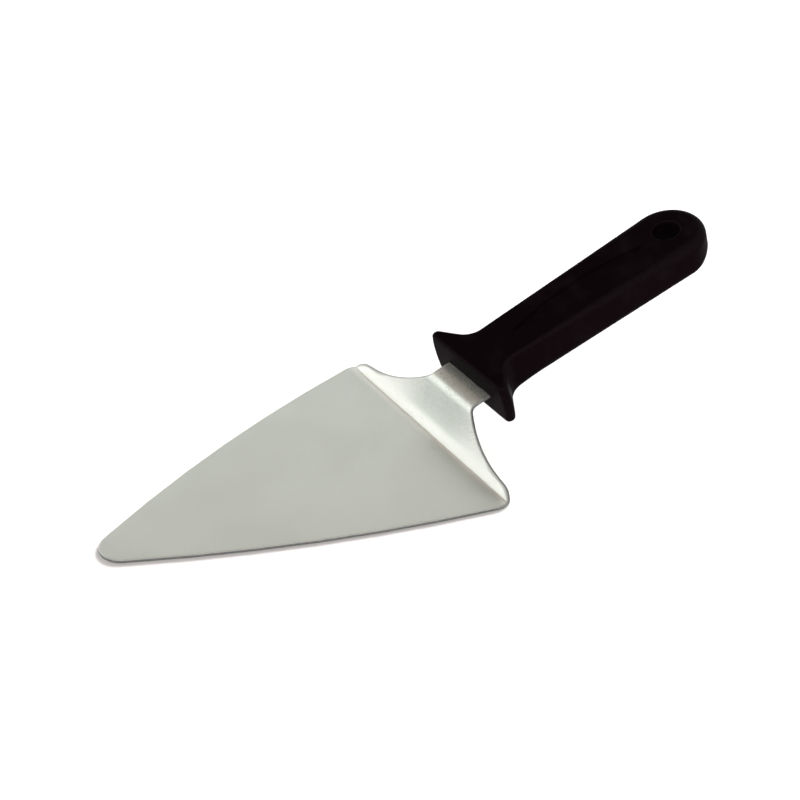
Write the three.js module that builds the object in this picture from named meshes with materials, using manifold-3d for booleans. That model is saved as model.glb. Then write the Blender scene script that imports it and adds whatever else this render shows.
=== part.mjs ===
// Pizza server: a cranked steel serving blade with a plastic handle moulded over its tang.
// Millimetres, +X from the blade's tip to the handle's end, +Z up. The blade lies flat on z = 0, the part
// is the same on both sides of y = 0, and the origin is the bottom centre of the part's box.
import * as THREE from "three";
import { mergeVertices } from "three/addons/utils/BufferGeometryUtils.js";
import Module from "manifold-3d";

// Sheet
const sheet = 1.5; // thickness of the steel
const bladeLength = 150.5; // tip to crease
const bladeWidth = 122.2; // across the rear corners, before they are rounded
const cornerRise = 3.9; // how far up the ramp the rear corners lie, along the sheet
const tipRadius = 9.2;
const tipAngle = 26.5; // side edge against the axis, at the tip
const rearAngle = 13; // side edge against the axis, at the rear corner
const rearCornerRadius = 8.6;

// Crank: the sheet rises from the crease over a steep ramp and bends back to the slope of the tang
const creaseRadius = 0.75; // inside the crease, on the upper face
const rampFoot = 71.9; // slope just above the crease
const rampHead = 51.1; // slope of the ramp's upper, flat part
const rampCurve = 6.4; // length of the curved part of the ramp
const rampFlat = 10.9; // length of its flat part
const bendRadius = 6.5; // bend from ramp to tang, in the middle of the sheet
const tangTilt = 16; // slope of the tang and of the handle
const neckFlare = 82; // neck edge against the axis, at the rear corner
const neckRoot = 51; // neck edge against the axis, at the tang
const neckRootRadius = 4;

// Tang
const tangWidth = 30.2; // where it shows before the guard
const tangShowing = 7.05; // from the end of the bend to the guard
const tangParallel = 9.35; // from the root of the neck's edges to the guard
const keyWidth = 18; // inside the handle
const keyLength = 44; // inside the handle
const keyShoulder = 3; // depth in the guard where the tang begins to narrow
const keyCornerRadius = 3;
const keyHoleRadius = 3.5;
const keyHoles = [17, 33]; // their depths in the handle

// Handle, in its own frame: u along it from the guard's face, v across, w up from the tang's middle
const handleLength = 126.4;
const guardTop = 10.5; // height of the guard's face above the tang
const gripTop = 9.85; // the grip's flat top, carried on to the guard's face
const topRise = 0.745; // slope of the top against the tang
const guardFade = 18; // depth at which the guard's top has passed into the grip's
const handleBottom = 9.2; // below the tang, at the guard
const bottomRise = 1.9; // slope of the underside against the tang
const guardWidth = 51.4; // at its top and bottom
const wingCrown = 1.6; // bulge of a wing's end between top and bottom
const wingTip = 3.6; // thickness of a guard wing at its tip
const wingRound = 2.3; // rounding from the guard's face to a wing's end
const wingAngle = 58.3; // back of a wing against the axis
const flareRadius = 9; // from the back of a wing to the grip
const gripNeckWidth = 24.2; // where the wing's back would meet the grip
const endWidth = 33.8; // round end
const wingEdge = 1.4; // rounding of the edges round the guard
const endTopEdge = 5; // the upper edge's rounding has grown to this at the round end
const gripEdge = 4; // rounding of the lower edge along the grip
const endEdge = 7; // rounding of the lower edge round the end
const hangHoleRadius = 6;
const hangHoleLip = 0.9; // rounding of the hole's rims
const leafStart = 24; // thumb recess, a shallow leaf in the top
const leafLength = 73;
const leafWidth = 10.7;
const leafDepth = 0.7;

const clearance = 0.3; // round the tang and through its key holes
const arcStep = THREE.MathUtils.degToRad(9); // the coarsest facet on a small arc
const roundSteps = 5; // facets round each edge of the handle
const wallSteps = 4; // facets up its sides

const wasm = await Module();
wasm.setup();
const rad = THREE.MathUtils.degToRad;
const point = (x, y) => new THREE.Vector2(x, y);

// Where the line from p at an angle meets the line from q at another, both in degrees.
function meet(p, pAngle, q, qAngle) {
  const d = point(Math.cos(rad(pAngle)), Math.sin(rad(pAngle)));
  const e = point(Math.cos(rad(qAngle)), Math.sin(rad(qAngle)));
  const along = q.clone().sub(p).cross(e) / d.cross(e);
  return p.clone().addScaledVector(d, along);
}

// Points of a line through corners, each rounded by its radius.
// A corner that names no radius gets the largest that fits between its neighbours.
function rounded(corners) {
  const turn = corners.map(({ at }, i) => {
    if (i === 0 || i === corners.length - 1) return 0;
    const before = at.clone().sub(corners[i - 1].at);
    const after = corners[i + 1].at.clone().sub(at);
    return Math.atan2(before.cross(after), before.dot(after));
  });
  const reach = corners.map(({ radius }, i) => (radius ?? 0) * Math.tan(Math.abs(turn[i]) / 2));
  const room = (i, j) => corners[i].at.distanceTo(corners[j].at) - reach[j];
  corners.forEach(({ radius }, i) => {
    if (radius === undefined) reach[i] = Math.min(room(i, i - 1), room(i, i + 1));
  });
  return corners.flatMap(({ at }, i) => {
    if (reach[i] === 0) return [at];
    const radius = reach[i] / Math.tan(Math.abs(turn[i]) / 2);
    const inward = at.clone().sub(corners[i - 1].at).normalize();
    const start = at.clone().addScaledVector(inward, -reach[i]);
    const side = point(-inward.y, inward.x).multiplyScalar(Math.sign(turn[i]));
    const centre = start.clone().addScaledVector(side, radius);
    const steps = Math.max(6, Math.ceil(Math.abs(turn[i]) / arcStep));
    const angles = Array.from({ length: steps + 1 }, (_, k) => (turn[i] * k) / steps);
    return angles.map((angle) => start.clone().rotateAround(centre, angle));
  });
}

// The middle of the sheet seen from the side, as stations of developed length s, place and slope.
function crankStations() {
  const foot = rad(rampFoot);
  const head = rad(rampHead);
  const tilt = rad(tangTilt);
  const crease = creaseRadius + sheet / 2;
  const runs = [
    { length: crease * foot, from: 0, to: foot, steps: 6 },
    { length: rampCurve, from: foot, to: head, steps: 8 },
    { length: rampFlat, from: head, to: head, steps: 1 },
    { length: bendRadius * (head - tilt), from: head, to: tilt, steps: 10 },
    { length: tangShowing + keyLength, from: tilt, to: tilt, steps: 1 },
  ];
  const creaseReach = creaseRadius * Math.tan(foot / 2);
  const stations = [
    { s: -bladeLength, x: -bladeLength, z: sheet / 2, slope: 0 },
    { s: -creaseReach, x: -creaseReach, z: sheet / 2, slope: 0 },
  ];
  for (const { length, from, to, steps } of runs) {
    for (let k = 0; k < steps; k++) {
      const last = stations.at(-1);
      const middle = from + ((to - from) * (k + 0.5)) / steps;
      const half = (to - from) / steps / 2;
      const step = length / steps;
      const chord = half === 0 ? step : (step * Math.sin(half)) / half;
      stations.push({
        s: last.s + step,
        x: last.x + chord * Math.cos(middle),
        z: last.z + chord * Math.sin(middle),
        slope: middle + half,
      });
    }
  }
  return stations;
}

const crank = crankStations();
const tangEnd = crank.at(-1);
const guardAt = tangEnd.s - keyLength; // developed length at the guard's face

// Place and slope of the sheet's middle at a developed length.
function onCrank(s) {
  const k = Math.max(1, crank.findIndex((station) => station.s >= s - 1e-9));
  const [a, b] = [crank[k - 1], crank[k]];
  const t = (s - a.s) / (b.s - a.s);
  const mix = (name) => THREE.MathUtils.lerp(a[name], b[name], t);
  return { x: mix("x"), z: mix("z"), slope: mix("slope") };
}

// Corners of the tang's edge inside the handle, from the guard's face on, grown by a gap all round.
function keyCorners(gap) {
  const shift = gap * Math.tan(rad(45) / 2);
  const narrowing = (tangWidth - keyWidth) / 2;
  const shoulder = point(keyShoulder + shift, tangWidth / 2 + gap);
  return [
    { at: shoulder, radius: neckRootRadius + gap },
    { at: point(shoulder.x + narrowing, keyWidth / 2 + gap), radius: neckRootRadius - gap },
    { at: point(keyLength + gap, keyWidth / 2 + gap), radius: keyCornerRadius + gap },
    { at: point(keyLength + gap, 0), radius: 0 },
  ];
}

// One edge of the flat pattern, from the tip to the end of the tang, as developed length and half width.
function sheetEdge() {
  const tip = point(-bladeLength, tipRadius * Math.tan(rad(90 - tipAngle) / 2));
  const rear = point(cornerRise, bladeWidth / 2);
  const root = point(guardAt - tangParallel, tangWidth / 2);
  const inside = keyCorners(0).map(({ at, radius }) => ({ at: point(guardAt + at.x, at.y), radius }));
  return rounded([
    { at: point(-bladeLength, 0), radius: 0 },
    { at: tip, radius: tipRadius },
    { at: meet(tip, tipAngle, rear, rearAngle) },
    { at: rear, radius: rearCornerRadius },
    { at: meet(rear, -neckFlare, root, -neckRoot) },
    { at: root, radius: neckRootRadius },
    ...inside,
  ]);
}

// Geometry of triangles given as triples of points.
function geometryOf(triangles) {
  const flat = triangles.flat().flatMap((p) => [p.x, p.y, p.z]);
  const geometry = new THREE.BufferGeometry();
  geometry.setAttribute("position", new THREE.Float32BufferAttribute(flat, 3));
  return geometry;
}

// Two triangles of a four-cornered face, without those that have no area.
function face(a, b, c, d) {
  const same = (p, q) => p.distanceToSquared(q) < 1e-10;
  return [
    [a, b, c],
    [a, c, d],
  ].filter(([p, q, r]) => !same(p, q) && !same(q, r) && !same(r, p));
}

// Flat pattern wrapped along the crank: rows across the sheet at each developed length, joined by strips.
function sheetGeometry() {
  const edge = sheetEdge().filter((p, i, all) => i === 0 || p.x > all[i - 1].x + 1e-6);
  const widthAt = (s) => {
    const k = Math.max(1, edge.findIndex((p) => p.x >= s - 1e-9));
    const t = (s - edge[k - 1].x) / (edge[k].x - edge[k - 1].x);
    return THREE.MathUtils.lerp(edge[k - 1].y, edge[k].y, t);
  };
  const lengths = [...edge.map((p) => p.x), ...crank.map(({ s }) => s)].sort((a, b) => a - b);
  const rows = lengths
    .filter((s, i) => i === 0 || s - lengths[i - 1] > 1e-3)
    .map((s) => {
      const { x, z, slope } = onCrank(s);
      const half = widthAt(s);
      const off = point(-Math.sin(slope), Math.cos(slope)).multiplyScalar(sheet / 2);
      const corner = (y, side) => new THREE.Vector3(x + side * off.x, y, z + side * off.y);
      return [corner(-half, 1), corner(half, 1), corner(half, -1), corner(-half, -1)];
    });
  const triangles = [...face(...rows[0]), ...face(...[...rows.at(-1)].reverse())];
  for (let i = 1; i < rows.length; i++) {
    for (let k = 0; k < 4; k++) {
      const next = (k + 1) % 4;
      triangles.push(...face(rows[i - 1][k], rows[i][k], rows[i][next], rows[i - 1][next]));
    }
  }
  return geometryOf(triangles);
}

// Solid of a closed geometry, for cutting and joining.
function solidOf(geometry) {
  const plain = new THREE.BufferGeometry();
  plain.setAttribute("position", geometry.getAttribute("position"));
  plain.setIndex(geometry.index);
  const merged = mergeVertices(plain, 1e-4);
  const vertProperties = merged.getAttribute("position").array;
  const triVerts = Uint32Array.from(merged.index.array);
  return new wasm.Manifold(new wasm.Mesh({ numProp: 3, vertProperties, triVerts }));
}

// Geometry of a solid.
function geometryFrom(solid) {
  const { vertProperties, triVerts } = solid.getMesh();
  const geometry = new THREE.BufferGeometry();
  geometry.setAttribute("position", new THREE.BufferAttribute(vertProperties, 3));
  geometry.setIndex(new THREE.BufferAttribute(triVerts, 1));
  return geometry;
}

// Pin along w in the handle's frame, through the middle of the tang.
function pin(radius, u, height) {
  const upright = new THREE.CylinderGeometry(radius, radius, height, 40).rotateX(Math.PI / 2);
  return upright.translate(u, 0, 0);
}

// Moves a geometry from the handle's frame to the part's.
function seat(geometry) {
  const { x, z } = onCrank(guardAt);
  return geometry.rotateY(-rad(tangTilt)).translate(x, 0, z);
}

// Angles of the facets that make a quarter round.
function quarterTurn() {
  return Array.from({ length: roundSteps + 1 }, (_, k) => (k * Math.PI) / 2 / roundSteps);
}

// One side of the handle seen from above, from the middle of the guard's face to the end.
function handleEdge() {
  const endRadius = endWidth / 2;
  const front = point(0, guardWidth / 2);
  const back = point(wingTip, guardWidth / 2);
  const neck = meet(back, -wingAngle, point(0, gripNeckWidth / 2), 0);
  const toEnd = point(handleLength - endRadius, 0).sub(neck);
  const gripAngle = THREE.MathUtils.radToDeg(Math.asin(endRadius / toEnd.length()) + toEnd.angle());
  return rounded([
    { at: point(0, 0), radius: 0 },
    { at: front, radius: wingRound },
    { at: back },
    { at: neck, radius: flareRadius },
    { at: meet(neck, gripAngle, point(handleLength, 0), 90), radius: endRadius },
    { at: point(handleLength, 0), radius: 0 },
  ]).filter((p, i, all) => i === 0 || p.distanceTo(all[i - 1]) > 1e-3);
}

// Height of the top at a place along the handle.
function topside(u) {
  const share = THREE.MathUtils.smoothstep(u, 0, guardFade);
  return THREE.MathUtils.lerp(guardTop, gripTop + Math.tan(rad(topRise)) * u, share);
}

// Height of the underside at a place along the handle.
function underside(u) {
  return -handleBottom + Math.tan(rad(bottomRise)) * u;
}

// Handle before anything is cut from it: its outline as rings one above the other, drawn in round the
// upper and lower edges.
function handleBody() {
  const half = handleEdge().slice(1);
  const mirrored = half.slice(0, -1).map((p) => point(p.x, -p.y));
  const outline = [...mirrored, ...[...half].reverse()];
  const flareEnd = wingTip + guardWidth / 2;
  const endStart = handleLength - endWidth / 2;
  const inward = outline.map((_, i) => {
    const along = outline[(i + 1) % outline.length].clone().sub(outline.at(i - 1)).normalize();
    return point(-along.y, along.x);
  });
  const { clamp, lerp, smoothstep } = THREE.MathUtils;
  const rim = Math.min(wingEdge, 0.9 * wingRound, 0.45 * wingTip); // stays inside the rounding of a wing
  const upperEdge = outline.map((p) => {
    return lerp(rim, endTopEdge, clamp((p.x - guardFade) / (endStart - guardFade), 0, 1));
  });
  const lowerEdge = outline.map((p) => {
    const alongGrip = lerp(rim, gripEdge, smoothstep(p.x, wingTip, flareEnd));
    return lerp(alongGrip, endEdge, smoothstep(p.x, endStart, handleLength));
  });
  const place = (at, w) => {
    const [low, high] = [underside(at.x), topside(at.x)];
    const height = (2 * w - high - low) / (high - low); // from -1 below to 1 on top
    const onWing = smoothstep(Math.abs(at.y), gripNeckWidth / 2, guardWidth / 2);
    const bulge = wingCrown * onWing * (1 - height ** 2);
    return new THREE.Vector3(at.x, at.y + Math.sign(at.y) * bulge, w);
  };
  const drawnIn = (i, edge, angle) => {
    return outline[i].clone().addScaledVector(inward[i], edge * (1 - Math.cos(angle)));
  };
  const upperRing = (angle) =>
    upperEdge.map((edge, i) => {
      const at = drawnIn(i, edge, angle);
      return place(at, topside(at.x) - edge * (1 - Math.sin(angle)));
    });
  const lowerRing = (angle) =>
    lowerEdge.map((edge, i) => {
      const at = drawnIn(i, edge, angle);
      return place(at, underside(at.x) + edge * (1 - Math.sin(angle)));
    });
  const wallRing = (share) =>
    outline.map((p, i) => place(p, lerp(underside(p.x) + lowerEdge[i], topside(p.x) - upperEdge[i], share)));
  const angles = quarterTurn();
  const shares = Array.from({ length: wallSteps - 1 }, (_, k) => (k + 1) / wallSteps);
  const fromBelow = [...angles].reverse();
  const rings = [...fromBelow.map(lowerRing), ...shares.map(wallRing), ...angles.map(upperRing)];
  const triangles = [];
  for (let k = 1; k < rings.length; k++) {
    for (let i = 0; i < outline.length; i++) {
      const j = (i + 1) % outline.length;
      triangles.push(...face(rings[k - 1][i], rings[k - 1][j], rings[k][j], rings[k][i]));
    }
  }
  const cap = (loop) =>
    mirrored.flatMap((_, i) => face(loop[i], loop[i + 1], loop.at(-2 - i), loop.at(-1 - i)));
  triangles.push(...cap(rings.at(-1)));
  triangles.push(...cap(rings[0]).map((triangle) => triangle.reverse()));
  return solidOf(geometryOf(triangles));
}

// Slot for the tang, open at the guard's face, less the plastic that fills the key holes.
function tangSlot() {
  const mouth = { at: point(-1, tangWidth / 2 + clearance), radius: 0 };
  const half = rounded([mouth, ...keyCorners(clearance)]);
  const outline = [...half, ...half.map((p) => point(p.x, -p.y)).reverse()];
  const depth = sheet + 2 * clearance;
  const slot = new THREE.ExtrudeGeometry(new THREE.Shape(outline), { depth, bevelEnabled: false });
  const pegs = keyHoles.map((u) => solidOf(pin(keyHoleRadius - clearance, u, 2 * depth)));
  return pegs.reduce((left, peg) => left.subtract(peg), solidOf(slot.translate(0, 0, -depth / 2)));
}

// Moves a cutter whose top is at w = 0 into the handle's top, square to it.
function sink(geometry, u) {
  return solidOf(geometry.rotateY(-rad(topRise)).translate(u, 0, topside(u)));
}

// Cutter for the hanging hole, opened out at both rims by a rounding.
function hangHole() {
  const u = handleLength - endWidth / 2;
  const wide = hangHoleRadius + hangHoleLip;
  const lip = quarterTurn().map((angle) => {
    return point(wide - hangHoleLip * Math.cos(angle), hangHoleLip * (1 - Math.sin(angle)));
  });
  const depth = topside(u) - underside(u);
  const profile = [
    point(0, -2 * depth),
    point(wide, -2 * depth),
    ...lip.map((p) => point(p.x, p.y - depth)).reverse(),
    ...lip.map((p) => point(p.x, -p.y)),
    point(wide, depth),
    point(0, depth),
  ];
  return sink(new THREE.LatheGeometry(profile, 48).rotateX(Math.PI / 2), u);
}

// Cutter for the thumb recess: a leaf between two arcs, with upright walls and a flat floor.
function leaf() {
  const half = point(leafLength / 2, leafWidth / 2);
  const radius = half.lengthSq() / leafWidth;
  const sweep = Math.asin(half.x / radius);
  const shape = new THREE.Shape();
  shape.absarc(0, half.y - radius, radius, Math.PI / 2 + sweep, Math.PI / 2 - sweep, true);
  shape.absarc(0, radius - half.y, radius, sweep - Math.PI / 2, -sweep - Math.PI / 2, true);
  const cutter = new THREE.ExtrudeGeometry(shape, { depth: 2 * leafDepth, bevelEnabled: false });
  return sink(cutter.translate(0, 0, -leafDepth), leafStart + half.x);
}

function makeBlade() {
  const holes = keyHoles.map((u) => solidOf(seat(pin(keyHoleRadius, u, 4 * sheet))));
  const cut = holes.reduce((left, hole) => left.subtract(hole), solidOf(sheetGeometry()));
  const steel = new THREE.MeshStandardMaterial({ color: 0xbcbfb8, metalness: 1, roughness: 0.3 });
  const mesh = new THREE.Mesh(geometryFrom(cut), steel);
  mesh.name = "blade";
  return mesh;
}

function makeHandle() {
  const cutters = [tangSlot(), hangHole(), leaf()];
  const cut = cutters.reduce((left, cutter) => left.subtract(cutter), handleBody());
  const plastic = new THREE.MeshStandardMaterial({ color: 0x151012, metalness: 0, roughness: 0.45 });
  const mesh = new THREE.Mesh(seat(geometryFrom(cut)), plastic);
  mesh.name = "handle";
  return mesh;
}

const server = new THREE.Group();
server.name = "pizza_server";
server.add(makeBlade(), makeHandle());
const middle = new THREE.Box3().setFromObject(server).getCenter(new THREE.Vector3());
server.children.forEach((mesh) => mesh.geometry.translate(-middle.x, 0, 0));

export default server;
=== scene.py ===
from math import cos, radians, sin, tan

import bmesh
import bpy
import numpy as np
from bpy.props import FloatProperty, FloatVectorProperty, PointerProperty
from bpy.types import Operator, Panel, PropertyGroup
from mathutils import Matrix, Vector


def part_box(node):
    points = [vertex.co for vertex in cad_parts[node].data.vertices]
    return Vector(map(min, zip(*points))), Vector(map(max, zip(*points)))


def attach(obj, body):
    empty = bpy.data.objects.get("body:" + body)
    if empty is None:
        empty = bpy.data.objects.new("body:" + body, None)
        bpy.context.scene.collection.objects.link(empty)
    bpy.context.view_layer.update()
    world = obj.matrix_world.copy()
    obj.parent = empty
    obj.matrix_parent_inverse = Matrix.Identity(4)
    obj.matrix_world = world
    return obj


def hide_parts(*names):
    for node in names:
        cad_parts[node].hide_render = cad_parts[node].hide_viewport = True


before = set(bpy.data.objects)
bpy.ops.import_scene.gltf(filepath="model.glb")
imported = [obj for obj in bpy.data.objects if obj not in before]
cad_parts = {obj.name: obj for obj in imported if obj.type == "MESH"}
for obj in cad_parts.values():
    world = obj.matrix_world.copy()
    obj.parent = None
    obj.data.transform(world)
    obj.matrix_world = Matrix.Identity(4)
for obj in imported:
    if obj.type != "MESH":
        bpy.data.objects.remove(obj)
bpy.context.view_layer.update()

bl_info = {
    "name": "Pizza server",
    "version": (1, 0, 0),
    "blender": (4, 5, 0),
    "location": "3D View > Sidebar > Pizza server",
    "description": "A steel serving blade, its moulded handle and a studio to see them in",
    "category": "Add Mesh",
}

ARC_STEP = radians(2.5)  # the coarsest turn between two points of an arc
ARC_SIDES = 6  # the fewest sides of an arc
SAME_PLACE = 1e-7  # points closer than this are merged
SHARP_TURN = radians(50)  # edges that turn more than this are shaded sharp


def size(name, default, description):
    """A length that a user would change, in metres."""
    return FloatProperty(
        name=name, description=description, default=default, min=0.0, precision=5, unit="LENGTH"
    )


def angle(name, degrees, description):
    """An angle that a user would change, given in degrees."""
    return FloatProperty(name=name, description=description, default=radians(degrees), unit="ROTATION")


def colour(name, default, description):
    """A colour that a user would change, as linear red, green and blue."""
    return FloatVectorProperty(
        name=name, description=description, default=default, size=3, min=0.0, max=1.0, subtype="COLOR"
    )


def factor(name, default, description, highest=1.0):
    """A plain number that a user would change."""
    return FloatProperty(
        name=name, description=description, default=default, min=0.0, max=highest, subtype="FACTOR"
    )


class BladeSettings(PropertyGroup):
    """Sizes of the cranked steel sheet."""

    sheet: size("Sheet", 0.0015, "Thickness of the steel")
    length: size("Length", 0.1505, "From the tip to the crease")
    width: size("Width", 0.12214, "Across the rear corners before they are rounded")
    corner_rise: size("Corner rise", 0.0039, "How far up the ramp the rear corners lie, along the sheet")
    tip_radius: size("Tip radius", 0.0092, "Rounding of the tip")
    tip_angle: angle("Tip angle", 26.5, "Side edge against the axis at the tip")
    rear_angle: angle("Rear angle", 13.0, "Side edge against the axis at the rear corner")
    rear_radius: size("Rear radius", 0.0086, "Rounding of the rear corners")
    crease: size("Crease", 0.0003, "Radius inside the crease")
    ramp_foot: angle("Ramp foot", 66.0, "Slope just above the crease")
    ramp_head: angle("Ramp head", 51.1, "Slope of the flat part of the ramp")
    ramp_curve: size("Ramp curve", 0.010416, "Length over which the foot's slope passes into the ramp's")
    ramp_flat: size("Ramp flat", 0.00713, "Length of the flat part of the ramp")
    bend: size("Bend", 0.0065, "Radius of the bend from ramp to tang, in the middle of the sheet")
    bend_ease: size("Bend ease", 0.0024, "Length over which each end of the bend is eased")
    tilt: angle("Tilt", 16.0, "Slope of the tang and of the handle")
    neck_flare: angle("Neck flare", 82.0, "Neck edge against the axis at the rear corner")
    neck_root: angle("Neck root", 51.0, "Neck edge against the axis at the tang")
    root_radius: size("Root radius", 0.004, "Rounding where the neck meets the tang")
    tang_width: size("Tang width", 0.0302, "Width of the tang before the guard")
    tang_showing: size("Tang showing", 0.00705, "From the end of the bend to the guard")
    tang_parallel: size("Tang parallel", 0.00935, "From the root of the neck's edges to the guard")
    key_width: size("Key width", 0.018, "Width of the tang inside the handle")
    key_length: size("Key length", 0.044, "Length of the tang inside the handle")
    key_shoulder: size("Key shoulder", 0.003, "Depth in the guard where the tang begins to narrow")
    key_corner: size("Key corner", 0.003, "Rounding of the tang's hidden end")
    edge_round: size("Edge rounding", 0.0004, "Rounding of the stamped edges")
    # the rim is painted shade: the dark edge colour carried onto the neck's face as a thin outline
    rim: size("Rim", 0.0004, "Width of the dull rim along the edges of the neck")
    rim_corner: size("Rim at corner", 0.0013, "How much wider the dull rim is at the rear corners")
    rim_mark: factor("Rim mark", 0.65, "Share of the sheared edge's colour on the rim")


class HandleSettings(PropertyGroup):
    """Sizes of the moulded handle, in its own frame: u along it, v across and w up from the tang."""

    length: size("Length", 0.1264, "From the guard's face to the round end")
    guard_top: size("Guard top", 0.0105, "Height of the guard's face over the middle of the tang")
    grip_top: size("Grip top", 0.00985, "Height of the flat top, carried on to the guard's face")
    top_rise: angle("Top rise", 0.745, "Slope of the top against the tang")
    guard_fade: size("Guard fade", 0.018, "Depth at which the guard's top has passed into the grip's")
    bottom: size("Bottom", 0.0092, "Depth of the underside below the tang at the guard")
    bottom_rise: angle("Bottom rise", 1.9, "Slope of the underside against the tang")
    guard_width: size("Guard width", 0.0514, "Width of the guard at its top and bottom")
    wing_crown: size("Wing crown", 0.0016, "Bulge of a wing's end between top and bottom")
    wing_tip: size("Wing tip", 0.0036, "Thickness of a guard wing at its tip")
    wing_round: size("Wing rounding", 0.0023, "Rounding from the guard's face to a wing's end")
    wing_angle: angle("Wing angle", 58.3, "Back of a wing against the axis")
    flare: size("Flare", 0.009, "Radius from the back of a wing to the grip")
    neck_width: size("Neck width", 0.0242, "Width of the grip where the wings would meet it")
    end_width: size("End width", 0.0338, "Width of the round end")
    wing_edge: size("Wing edge", 0.0014, "Rounding of the edges round the guard")
    end_top_edge: size("End top edge", 0.005, "Rounding of the upper edge at the round end")
    grip_edge: size("Grip edge", 0.004, "Rounding of the lower edge along the grip")
    end_edge: size("End edge", 0.007, "Rounding of the lower edge round the end")
    hole: size("Hole", 0.006, "Radius of the hanging hole")
    hole_lip: size("Hole lip", 0.0009, "Rounding of the hole's rims")
    leaf_start: size("Leaf start", 0.024, "From the guard's face to the thumb recess")
    leaf_length: size("Leaf length", 0.073, "Length of the thumb recess")
    leaf_width: size("Leaf width", 0.0107, "Width of the thumb recess")
    leaf_depth: size("Leaf depth", 0.0007, "Depth of the thumb recess")
    leaf_wall: size("Leaf wall", 0.00028, "Width of the recess's walls, seen from above")
    fit: size("Fit", 0.00004, "Gap between the tang and the plastic round it")


class FinishSettings(PropertyGroup):
    """Colours and gloss of the steel and the plastic."""

    steel: colour("Steel", (0.748, 0.795, 0.724), "Satin face of the sheet")
    steel_smudge: colour("Steel smudge", (0.718, 0.762, 0.695), "Faint handling marks on the sheet")
    # sheared edge colour: partly the dull sheared steel, partly painted shade
    steel_edge: colour("Steel edge", (0.25, 0.25, 0.255), "Sheared edge of the sheet")
    # painted highlight: lighter steel along the crease and up the ramp
    steel_bright: colour("Steel bright", (0.96, 0.98, 0.915), "Sheet burnished along the crease")
    steel_gloss: factor("Steel roughness", 0.12, "Roughness of the smooth grains of the satin face")
    steel_matt: factor("Steel matt roughness", 0.5, "Roughness of the matt grains of the satin face")
    plastic: colour("Plastic", (0.0046, 0.0018, 0.0029), "Black moulded plastic")
    # worn edges and dust, with a painted highlight along the rounded edges
    plastic_wear: colour("Plastic wear", (0.016, 0.012, 0.0138), "Rubbed edges and dust in the texture")
    plastic_gloss: factor("Plastic roughness", 0.5, "Roughness of the moulded surface")
    plastic_sheen: factor("Plastic specular", 0.007, "Strength of the plastic's reflections")


class StageSettings(PropertyGroup):
    """Floor, light and camera."""

    floor: colour("Floor", (0.92, 0.92, 0.915), "Pale floor")
    floor_reach: size("Floor reach", 30.0, "Half the width of the floor")
    sky: factor("Sky", 1.0, "Brightness of the studio round the server", 10.0)
    glow: factor("Glow", 0.85, "Brightness of the soft lamp that the bend reflects", 10.0)
    glow_azimuth: angle("Glow azimuth", 121.0, "Turn of the soft lamp round the server")
    glow_elevation: angle("Glow elevation", 34.2, "Height of the soft lamp")
    glow_core: angle("Glow core", 8.0, "Angle from the soft lamp's middle up to which it is full")
    glow_reach: angle("Glow reach", 17.5, "Angle from the soft lamp's middle at which it ends")
    key: factor("Key", 0.45, "Brightness of the large softbox overhead", 50.0)
    fill: factor("Fill", 29.0, "Brightness of the softbox that lights the floor alone", 50.0)
    camera_azimuth: angle("Camera azimuth", -32.666, "Turn of the camera round the server")
    camera_elevation: angle("Camera elevation", 34.532, "Height of the camera's view")
    camera_distance: size("Camera distance", 0.7775, "From the camera to the point it looks at")
    camera_lens: FloatProperty(
        name="Camera lens", description="Focal length in millimetres", default=81.0, unit="CAMERA"
    )
    camera_target: FloatVectorProperty(
        name="Camera target",
        description="Point that the camera looks at",
        default=(0.006796, 0.025556, 0.0015),
        size=3,
        subtype="XYZ",
        unit="LENGTH",
    )


class ServerSettings(PropertyGroup):
    """Everything about the server that a user would change."""

    blade: PointerProperty(type=BladeSettings)
    handle: PointerProperty(type=HandleSettings)
    finish: PointerProperty(type=FinishSettings)
    stage: PointerProperty(type=StageSettings)


def soft_share(value, start, end):
    """Share from 0 to 1 as value goes from start to end, level at both: 3t squared less 2t cubed."""
    t = np.clip((value - start) / (end - start), 0.0, 1.0)
    return t * t * (3.0 - 2.0 * t)


def meet(p, p_angle, q, q_angle):
    """Where the line from p at an angle meets the line from q at another."""
    d = np.array([cos(p_angle), sin(p_angle)])
    e = np.array([cos(q_angle), sin(q_angle)])
    gap = np.subtract(q, p)
    along = (gap[0] * e[1] - gap[1] * e[0]) / (d[0] * e[1] - d[1] * e[0])
    return np.add(p, along * d)


def rounded_line(corners):
    """Points of a line through corners, each a place and the radius that rounds it.

    An arc leaves the line at radius times tan(turn / 2) before its corner and turns in equal steps.
    A radius of None is the largest that the arcs of its neighbours leave room for.
    """
    places = np.array([place for place, _ in corners], dtype=float)
    sides = np.diff(places, axis=0)
    lengths = np.linalg.norm(sides, axis=1)
    ahead = sides / lengths[:, None]
    across = np.stack([-ahead[:, 1], ahead[:, 0]], axis=1)
    turns = np.zeros(len(places))
    sines = np.sum(across[:-1] * ahead[1:], axis=1)
    cosines = np.sum(ahead[:-1] * ahead[1:], axis=1)
    turns[1:-1] = np.arctan2(sines, cosines)
    reach = np.array([radius or 0.0 for _, radius in corners]) * np.tan(np.abs(turns) / 2)
    for i, (_, radius) in enumerate(corners):
        if radius is None:
            reach[i] = min(lengths[i - 1] - reach[i - 1], lengths[i] - reach[i + 1])
    runs = []
    for i, place in enumerate(places):
        if reach[i] == 0.0:
            runs.append(place[None])
            continue
        start = place - ahead[i - 1] * reach[i]
        arm = -across[i - 1] * np.sign(turns[i]) * reach[i] / np.tan(abs(turns[i]) / 2)
        steps = max(ARC_SIDES, int(np.ceil(abs(turns[i]) / ARC_STEP)))
        turned = np.linspace(0.0, turns[i], steps + 1)[:, None]
        runs.append(start - arm + np.cos(turned) * arm + np.sin(turned) * np.array([-arm[1], arm[0]]))
    points = np.concatenate(runs)
    apart = np.linalg.norm(np.diff(points, axis=0), axis=1) > SAME_PLACE
    return points[np.append(True, apart)]


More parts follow.
